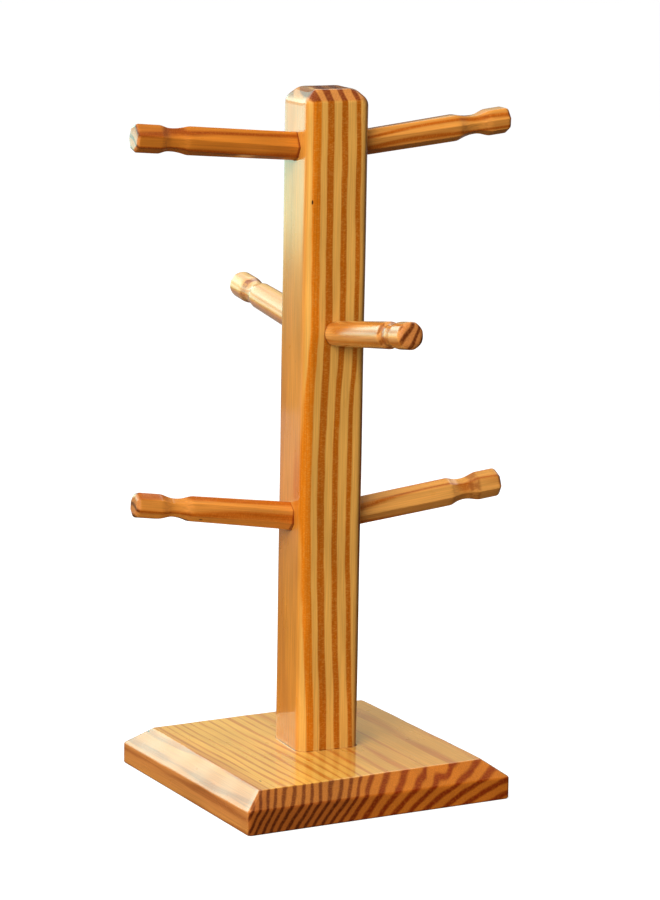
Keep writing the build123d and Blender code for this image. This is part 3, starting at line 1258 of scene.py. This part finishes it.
@dataclass
class Peg:
    """One peg, shaved round with a knife and sandpaper, so that a few long flats are left on it.

    Attributes:
        key: What sets its name apart.
        viewer: Level direction, in the frame, that the flats' angles turn towards from straight up.
        radii: Radius at the root, the shoulder, the neck and the knob.
        stations: Distance from the post's face to the shoulder, the neck, the knob and the tip.
        tip: How far the knob's end is rounded over.
        creases: Angles of the ridges between the flats, in degrees from straight up.
        twist: How far the ridges turn from the root to the tip, in degrees.
        flatness: 1 for true flats, 0 for a true cylinder.
        drip: Height of the lacquer drip under the root.
        grain: What this peg's pine has that others don't.
        seat: How far the peg goes on inside the post.
        around: Points round the peg.
        sanded: How many degrees either side of a ridge sanding has softened.
        fall: Below 1, the neck falls more steeply from the shoulder.
        rise: Above 1, it rises more slowly at first to the knob.
        mean_share: What a flat's share is on average, which keeps the peg's thickness.
        drip_at: Where the drip's top lies: its angle and its distance from the post.
        drip_size: How wide it is, in radians and in millimetres.
    """

    key: str
    viewer: tuple[float, float, float]
    radii: tuple[float, float, float, float]
    stations: tuple[float, float, float, float]
    tip: float = 3.6
    creases: tuple[float, ...] = (20, 85, 130, 180, 225, 270, 315)
    twist: float = 0.0
    flatness: float = 0.95
    drip: float = 0.0
    grain: dict[str, Any] = field(default_factory=dict)
    seat: float = 6.0
    around: int = 144
    sanded: float = 1.6
    fall: float = 0.62
    rise: float = 1.15
    mean_share: float = 0.985
    drip_at: tuple[float, float] = (165.0, 0.6)
    drip_size: tuple[float, float] = (0.2, 1.1)

    def __post_init__(self) -> None:
        """Takes the peg's line from the record's mount: the middle of the shaft, and its direction."""
        self.node = f"peg_{self.key}"
        mount = next(m for m in frame["record"]["mounts"] if m["name"] == f"hang_{self.key}")
        along = Vector(mount["axis"]).normalized()
        lean = math.asin(along.z)
        clear = mount["dims"]["r_mm"] * math.tan(lean) + 0.4
        back = mount["dims"]["length_mm"] / 2 + clear
        origin = Vector(mount["pos_m"]) / MM - along * back
        up = (Vector((0, 0, 1)) - along * along.z).normalized()
        viewer = Vector(self.viewer)
        side = up.cross(along)
        if side.dot(viewer) < 0:
            side = -side
        self.place = Place(tuple(origin), side, up, along)

    def flats(self, angles: np.ndarray) -> np.ndarray:
        """Share of the full radius at each angle.

        Between two ridges at angles a and b, the straight flat has the share
        cos((b - a) / 2) / cos(angle - (a + b) / 2). Sanding has softened the ridges, which is the
        mean of that share over a few degrees.

        Args:
            angles: Angles from straight up, in radians.

        Returns:
            One share for each angle.
        """
        ridges = np.sort(np.radians(np.mod(np.array(self.creases, float), 360)))
        ridges = np.concatenate([[ridges[-1] - TAU], ridges, [ridges[0] + TAU]])
        spread = np.radians(np.linspace(-self.sanded, self.sanded, 5))
        turned = np.mod(angles[..., None] + spread, TAU)
        nearest = np.clip(np.searchsorted(ridges, turned, side="right"), 1, len(ridges) - 1)
        before, after = ridges[nearest - 1], ridges[nearest]
        share = np.cos((after - before) / 2) / np.cos(turned - (after + before) / 2)
        return 1 + self.flatness * (share.mean(-1) - self.mean_share)

    def profile(self) -> tuple[np.ndarray, np.ndarray]:
        """Radius at each distance along the peg.

        The shaft is a straight taper. The neck is two half waves of a cosine, steeper at the
        shoulder. The knob's end is a quarter of an ellipse.

        Returns:
            Distances and radii.
        """
        root, shoulder, neck, knob = self.radii
        at_shoulder, at_neck, at_knob, reach = self.stations
        inside = [-self.seat, -self.seat + 0.6]
        shaft_s = np.concatenate([inside, np.linspace(0, at_shoulder - 0.6, 26)])
        shaft_r = root + (shoulder - root) * shaft_s / at_shoulder
        shaft_r[0] -= 0.6
        fall = np.linspace(0, 1, 14)[1:]
        fall_r = shoulder + (neck - shoulder) * (0.5 - 0.5 * np.cos(math.pi * fall ** self.fall))
        rise = np.linspace(0, 1, 14)[1:]
        rise_r = neck + (knob - neck) * (0.5 - 0.5 * np.cos(math.pi * rise ** self.rise))
        bend = np.linspace(0, math.pi / 2, 12)
        end_s = reach - self.tip * 0.8 + self.tip * 0.8 * np.sin(bend)
        end_r = knob - self.tip + self.tip * np.cos(bend)
        rest_s = np.linspace(at_knob, end_s[0], 8)[1:-1]
        distances = np.concatenate([
            shaft_s,
            at_shoulder + (at_neck - at_shoulder) * fall,
            at_neck + (at_knob - at_neck) * rise,
            rest_s,
            end_s,
            [reach],
        ])
        rest_r = np.full(len(rest_s), knob)
        radii = np.concatenate([shaft_r, fall_r, rise_r, rest_r, end_r, [end_r[-1] * 0.5]])
        return distances, radii

    def build(self) -> bpy.types.Object:
        """Makes the peg.

        A ring's point at angle t lies at up * r cos t + side * r sin t, with r the profile's radius
        times the flats' share. The drip is a small bell-shaped rise of r under the root.

        Returns:
            The finished piece.
        """
        distances, radii = self.profile()
        angles = np.linspace(0, TAU, self.around, endpoint=False)
        drift = np.radians(self.twist) * distances / self.stations[3]
        share = self.flats(angles[None] - drift[:, None])
        length = radii[:, None] * share
        below = np.mod(angles - math.radians(self.drip_at[0]) + math.pi, TAU) - math.pi
        wide, long = self.drip_size
        bell_round = np.exp(-((below / wide) ** 2))[None]
        bell_along = np.exp(-(((distances - self.drip_at[1]) / long) ** 2))[:, None]
        length = length + self.drip * (bell_round * bell_along)
        along = np.broadcast_to(distances[:, None], length.shape)
        rows = np.stack([length * np.sin(angles), length * np.cos(angles), along], axis=-1)
        piece = skin(f"mug_tree_{self.node}", self.place.put(rows))
        finish = PegPine(f"{self.node}_pine", self.right_handed(), **self.grain)
        return hand_over(piece, finish, self.node)

    def right_handed(self) -> Place:
        """The peg's place with its side turned round where that is needed for the grain's axes.

        Returns:
            A place whose side, up and along are right-handed.
        """
        place = self.place
        if place.side.cross(place.up).dot(place.along) > 0:
            return place
        return Place(place.origin, -place.side, place.up, place.along)


LEFTWARD = (0.0, -1.0, 0.0)
FRONTWARD = (-1.0, 0.0, 0.0)

PEGS = (
    Peg("top_left", LEFTWARD, (7.47, 7.28, 5.79, 7.15), (57.9, 67.2, 73.8, 86.0), tip=1.9,
        creases=(25, 92, 140, 185, 235, 280, 330), twist=-17, drip=1.0,
        grain={"angle": 62, "pitch": 6.4, "start": 0.62, "late_share": 0.3, "softness": 0.12,
               "early": paint(198, 116, 34), "late": paint(150, 66, 6)}),
    Peg("top_right", LEFTWARD, (6.94, 7.30, 5.15, 7.21), (54.7, 64.9, 74.0, 84.6),
        creases=(30, 78, 122, 170, 220, 265, 320), twist=6,
        grain={"angle": 75, "pitch": 6.0, "start": 0.3, "late_share": 0.32, "softness": 0.12,
               "early": paint(222, 146, 62)}),
    Peg("middle_front", FRONTWARD, (6.55, 6.95, 5.42, 6.97), (64.0, 68.0, 78.9, 90.0),
        creases=(40, 95, 140, 190, 235, 285, 330), twist=5, flatness=0.25,
        grain={"angle": -38, "pitch": 4.3, "start": 0.1, "late_share": 0.42, "softness": 0.12,
               "rubbed": 0.19, "early": paint(230, 160, 80), "late": paint(200, 116, 36),
               "collar": (67.5, 1.8, 0.8)}),
    Peg("middle_back", FRONTWARD, (7.65, 7.02, 5.80, 7.08), (64.5, 68.8, 80.0, 92.5), tip=2.6,
        creases=(35, 100, 150, 200, 245, 290, 340), flatness=0.15,
        grain={"angle": 20, "pitch": 5.5, "start": 0.4, "late_share": 0.3, "softness": 0.2,
               "rubbed": 0.15, "early": paint(240, 184, 104), "late": paint(214, 138, 62),
               "collar": (74.8, 2.8, 0.9)}),
    Peg("lower_left", LEFTWARD, (7.44, 6.72, 4.87, 6.57), (54.9, 63.8, 72.8, 85.2), tip=2.8,
        creases=(10, 60, 112, 150, 200, 245, 290, 330), twist=-8, drip=0.9,
        grain={"angle": 80, "pitch": 6.8, "start": 0.5, "late_share": 0.3, "softness": 0.12}),
    Peg("lower_right", LEFTWARD, (7.10, 7.33, 5.59, 7.41), (55.5, 63.1, 72.6, 84.6),
        creases=(-5, 48, 100, 150, 195, 245, 300), twist=4,
        grain={"angle": 15, "pitch": 7.5, "start": 0.1, "late_share": 0.25, "softness": 0.16,
               "early": paint(230, 160, 76), "collar": (69.0, 4.0, 0.6)}),
)


# ---------------------------------------------------------------- screw


@dataclass
class BaseScrew:
    """The countersunk cross-head screw that holds the post down, point up."""

    node: str = "base_screw"
    head_r: float = 4.9
    shank_r: float = 1.8
    core_r: float = 1.55
    thread_r: float = 2.5
    pitch: float = 2.8
    thread_from: float = 20.6
    point_from: float = 56.6
    slot_half: float = 0.55
    slot_reach: float = 2.6
    slot_depth: float = 2.4
    around: int = 96
    crown: float = 0.12
    step: float = 0.2
    ridge_half: float = 0.28
    run_in: float = 1.5
    slot_edge: float = 0.14
    slot_lip: float = 0.12
    centre: tuple[float, float] = POST_CENTRE

    def __post_init__(self) -> None:
        """Takes the screw's height from the CAD node."""
        low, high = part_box(self.node)
        self.face = low.z / MM
        self.tip = high.z / MM

    def recess(self, x: np.ndarray, y: np.ndarray) -> np.ndarray:
        """Depth of the cross recess: full inside either slot, less towards its ends, none outside.

        Args:
            x: Distance along one slot.
            y: Distance along the other.

        Returns:
            One depth for each point.
        """
        def slot(along: np.ndarray, across: np.ndarray) -> np.ndarray:
            """One slot's share of the full depth."""
            wall = np.clip((self.slot_half + self.slot_lip - np.abs(across)) / self.slot_edge, 0, 1)
            return wall * np.clip((self.slot_reach - np.abs(along)) / (self.slot_reach - 1.0), 0, 1)

        return self.slot_depth * np.maximum(slot(x, y), slot(y, x))

    def build(self) -> bpy.types.Object:
        """Makes the screw.

        The head's face is a height over rings of growing radius. Under it, each ring has a radius:
        a cone, a shank, then a core with a V-shaped ridge that climbs one pitch a turn, then a point.

        Returns:
            The finished piece.
        """
        angles = np.linspace(0, TAU, self.around, endpoint=False)
        face_r = np.concatenate([np.linspace(0.06, 3.2, 40), np.linspace(3.5, self.head_r - 0.1, 5)])
        x, y = face_r[:, None] * np.cos(angles), face_r[:, None] * np.sin(angles)
        dome = self.crown * (1 - (face_r / self.head_r) ** 6)[:, None]
        face = np.stack([x, y, self.face + self.crown - dome + self.recess(x, y)], axis=-1)
        level = np.array([0.1, 0.5, 3.5])
        collar_r = np.array([self.head_r, self.head_r, self.shank_r])
        climb = np.arange(self.thread_from, self.tip - self.step, self.step)
        heights = np.concatenate([self.face + level, climb])
        taper = np.clip((self.tip - heights) / (self.tip - self.point_from), 0.02, 1)
        phase = np.mod(heights[:, None] / self.pitch - angles[None] / TAU, 1)
        ridge = np.clip(1 - np.abs(phase - 0.5) / self.ridge_half, 0, 1)
        grows = np.clip((heights - self.thread_from) / self.run_in, 0, 1)[:, None]
        radius = (self.core_r + (self.thread_r - self.core_r) * ridge * grows) * taper[:, None]
        radius[:3] = collar_r[:, None]
        along = np.broadcast_to(heights[:, None], radius.shape)
        body = np.stack([radius * np.cos(angles), radius * np.sin(angles), along], axis=-1)
        rows = np.concatenate([face, body]) + np.array([*self.centre, 0])
        piece = skin("mug_tree_base_screw", rows)
        return hand_over(piece, ScrewSteel(), self.node)


# ---------------------------------------------------------------- studio


@dataclass
class Studio:
    """The pale floor, the white surroundings, the soft lights and the camera.

    Lengths here are in metres. Colours are linear.

    Attributes:
        camera_at: Where the camera stands.
        heading: Direction that it looks in, in degrees from straight back.
        pitch: How far it looks down.
        roll: How far it is rolled.
        lens: Focal length, for the sensor's width, both in millimetres.
        card: Left edge, right edge, place to the back and height of the reflector.
        glow: The reflector's brightness at chosen heights.
        card_low: Its colour below and above low_blend.
        card_high: Its colour above high_blend.
        low_blend: Heights between which its lower two colours blend.
        high_blend: Heights between which the upper colour comes in.
        dim: What reflections see low down and on the right.
        glossy_room: What they see at middle heights and above them.
        window: The bright patch that they see behind.
        glossy_front: What they see in front.
        room: What lights the object from all sides but the right.
        span: Half the floor's width.
        gap: How far the floor lies below the object.
        dusk: The floor as reflections see it, near and far.
        chalk: The floor's own colour.
        shine: How much it glows as well, to the eye.
        lights: Name, place, aim, size and power in watts of each soft light.
    """

    camera_at: tuple[float, float, float] = (-0.83193, -1.52253, 0.51747)
    heading: float = -28.84
    pitch: float = 11.19
    roll: float = 1.02
    lens: float = 139.18
    sensor: float = 36.0
    farthest: float = 50.0
    card: tuple[float, float, float, float] = (-1.1, 0.05, 1.0, 1.1)
    glow: tuple[tuple[float, float], ...] = (
        (0, 0.05), (0.05, 0.15), (0.1, 0.55), (0.14, 1.75), (0.18, 2.5), (0.23, 2.5),
        (0.27, 2.4), (0.31, 1.2), (0.38, 1.1), (0.45, 4.0), (0.65, 2.8), (0.85, 1.6), (1.1, 1.6),
    )
    card_low: tuple[Colour, Colour] = ((0.75, 1.0, 0.5, 1), (0.52, 1.0, 0.72, 1))
    card_high: Colour = (0.5, 0.96, 0.86, 1)
    low_blend: tuple[float, float] = (0.08, 0.18)
    high_blend: tuple[float, float] = (0.17, 0.24)
    dim: Colour = (0.09, 0.06, 0.065, 1)
    glossy_room: tuple[Colour, Colour] = ((0.6, 0.55, 0.33, 1), (0.3, 0.24, 0.18, 1))
    window: Colour = (1.9, 1.8, 1.6, 1)
    glossy_front: Colour = (0.03, 0.025, 0.02, 1)
    room: Colour = (0.62, 0.62, 0.62, 1)
    span: float = 6.0
    gap: float = 0.0002
    dusk: tuple[Colour, Colour] = ((0.12, 0.075, 0.03, 1), (0.55, 0.47, 0.47, 1))
    chalk: Colour = (0.5, 0.5, 0.5, 1)
    shine: float = 0.82
    lights: tuple[tuple[Any, ...], ...] = (
        ("key", (-1.85, -1.35, 1.3), (0, 0, 0.2), (1.7, 1.7), 66),
        ("overhead", (-0.5, 0.1, 2.0), (0, 0, 0.0), (1.2, 1.2), 17),
    )

    def camera(self) -> None:
        """Sets up the camera. It looks down by the pitch, and is rolled a little."""
        heading, pitch, roll = (math.radians(v) for v in (self.heading, self.pitch, self.roll))
        view = Vector((
            -math.sin(heading) * math.cos(pitch),
            math.cos(heading) * math.cos(pitch),
            -math.sin(pitch),
        ))
        level = Vector((math.cos(heading), math.sin(heading), 0))
        up = level.cross(view)
        right = level * math.cos(roll) + up * math.sin(roll)
        upward = up * math.cos(roll) - level * math.sin(roll)
        data = bpy.data.cameras.new("camera")
        data.lens = self.lens
        data.sensor_width = self.sensor
        data.clip_end = self.farthest
        camera = bpy.data.objects.new("camera", data)
        axes = Matrix((right, upward, -view)).transposed()
        camera.matrix_world = Matrix.Translation(self.camera_at) @ axes.to_4x4()
        bpy.context.scene.collection.objects.link(camera)
        bpy.context.scene.camera = camera

    def softbox(
        self,
        name: str,
        at: tuple[float, float, float],
        aim: tuple[float, float, float],
        size: tuple[float, float],
        power: float,
    ) -> None:
        """Hangs one soft white light, which doesn't show in reflections.

        Args:
            name: What it is called.
            at: Where it hangs.
            aim: What it points at.
            size: Its width and height.
            power: Its power in watts.
        """
        data = bpy.data.lights.new(name, "AREA")
        data.shape = "RECTANGLE"
        data.size, data.size_y = size
        data.energy = power
        light = bpy.data.objects.new(name, data)
        direction = Vector(aim) - Vector(at)
        turned = direction.to_track_quat("-Z", "Y").to_matrix()
        light.matrix_world = Matrix.Translation(at) @ turned.to_4x4()
        light.visible_camera = False
        light.visible_glossy = False
        bpy.context.scene.collection.objects.link(light)

    def reflector(self) -> None:
        """A tall pale green card behind the left shoulder, with two bright bands.

        Only reflections see it. Its brightness is a curve of the height.
        """
        left, right, back, top = self.card
        mesh = bpy.data.meshes.new("reflector")
        corners = [(left, back, 0), (right, back, 0), (right, back, top), (left, back, top)]
        mesh.from_pydata(corners, [], [(0, 1, 2, 3)])
        card = bpy.data.objects.new("reflector", mesh)
        bpy.context.scene.collection.objects.link(card)
        card.visible_camera = False
        card.visible_diffuse = False
        card.visible_shadow = False
        made = bpy.data.materials.new("reflector")
        made.use_nodes = True
        made.node_tree.nodes.clear()
        bench = NodeBench(made.node_tree)
        height = bench.split(bench.add("ShaderNodeTexCoord").outputs["Object"])[2]
        glow = bench.curve(height, self.glow)
        low_tint = bench.mixed(bench.ramp(height, *self.low_blend), *self.card_low)
        tint = bench.mixed(bench.ramp(height, *self.high_blend), low_tint, self.card_high)
        light = bench.add("ShaderNodeEmission", {"Color": tint, "Strength": glow})
        out = bench.add("ShaderNodeOutputMaterial")
        bench.feed(out.inputs["Surface"], light.outputs[0])
        mesh.materials.append(made)

    def surroundings(self) -> None:
        """A room that is seen white, and that reflections see darker, but for one bright window behind.

        It is darkest on the right, where it lights the object least.
        """
        world = bpy.data.worlds.new("room")
        bpy.context.scene.world = world
        world.use_nodes = True
        world.node_tree.nodes.clear()
        bench = NodeBench(world.node_tree)
        way = bench.add("ShaderNodeTexCoord").outputs["Generated"]
        right = bench.towards(way, (0.985, 0.17, 0.0))
        front = bench.towards(way, (-0.3, -0.95, 0.0))
        height = bench.split(way)[2]
        middle, high = self.glossy_room
        gloss = bench.mixed(bench.ramp(height, 0.1, 0.2), self.dim, middle)
        gloss = bench.mixed(bench.ramp(height, 0.62, 0.78), gloss, high)
        sill, lintel = bench.ramp(height, 0.42, 0.52), bench.ramp(height, 0.7, 0.8, 1.0, 0.0)
        pane = bench.sum("MULTIPLY", sill, lintel)
        pane = bench.sum("MULTIPLY", pane, bench.ramp(bench.split(way)[1], 0.1, 0.4))
        gloss = bench.mixed(pane, gloss, self.window)
        gloss = bench.mixed(bench.ramp(front, -0.2, 0.4), gloss, self.glossy_front)
        gloss = bench.mixed(bench.ramp(right, 0.64, 0.8), gloss, self.dim)
        diffuse = bench.mixed(bench.ramp(right, -0.3, 0.35), self.room, self.dim)
        path = bench.add("ShaderNodeLightPath").outputs
        lit = bench.mixed(path["Is Glossy Ray"], diffuse, gloss)
        seen = bench.mixed(path["Is Camera Ray"], lit, (1.0, 1.0, 1.0, 1))
        sky = bench.add("ShaderNodeBackground", {"Color": seen, "Strength": 1.0})
        out = bench.add("ShaderNodeOutputWorld")
        bench.feed(out.inputs["Surface"], sky.outputs[0])

    def floor(self) -> None:
        """A wide white sheet. Reflections see it darker than the eye does."""
        mesh = bpy.data.meshes.new("floor")
        corners = [(x * self.span, y * self.span, 0) for x, y in CORNER_SIGNS.tolist()]
        mesh.from_pydata(corners, [], [(0, 1, 2, 3)])
        sheet = bpy.data.objects.new("floor", mesh)
        sheet.location.z = -self.gap
        bpy.context.scene.collection.objects.link(sheet)
        made = bpy.data.materials.new("white_sheet")
        made.use_nodes = True
        bench = NodeBench(made.node_tree)
        made.node_tree.nodes.clear()
        path = bench.add("ShaderNodeLightPath").outputs
        seen = bench.add("ShaderNodeEmission", {"Color": (1, 1, 1, 1), "Strength": self.shine}).outputs[0]
        chalk = bench.add("ShaderNodeBsdfDiffuse", {"Color": self.chalk}).outputs[0]
        behind = bench.split(bench.add("ShaderNodeTexCoord").outputs["Object"])[1]
        tone = bench.mixed(bench.ramp(behind, 0.3, 1.0), *self.dusk)
        dusk = bench.add("ShaderNodeBsdfDiffuse", {"Color": tone}).outputs[0]
        pale = bench.add("ShaderNodeAddShader", {0: seen, 1: chalk}).outputs[0]
        plain = bench.add("ShaderNodeMixShader", {0: path["Is Camera Ray"], 1: dusk, 2: pale}).outputs[0]
        out = bench.add("ShaderNodeOutputMaterial")
        bench.feed(out.inputs["Surface"], plain)
        mesh.materials.append(made)

    def build(self) -> None:
        """Sets up the whole studio."""
        bpy.context.scene.view_settings.view_transform = "Standard"
        self.camera()
        self.surroundings()
        self.floor()
        self.reflector()
        for light in self.lights:
            self.softbox(*light)


def main() -> None:
    """Builds the mug tree and the studio round it."""
    logging.basicConfig(level=logging.INFO, format="%(name)s %(message)s")
    Studio().build()
    pieces = [BaseBoard().build(), Post().build(), BaseScrew().build()]
    pieces += [peg.build() for peg in PEGS]
    LOG.info("%d pieces", len(pieces))


if __name__ == "__main__":
    main()
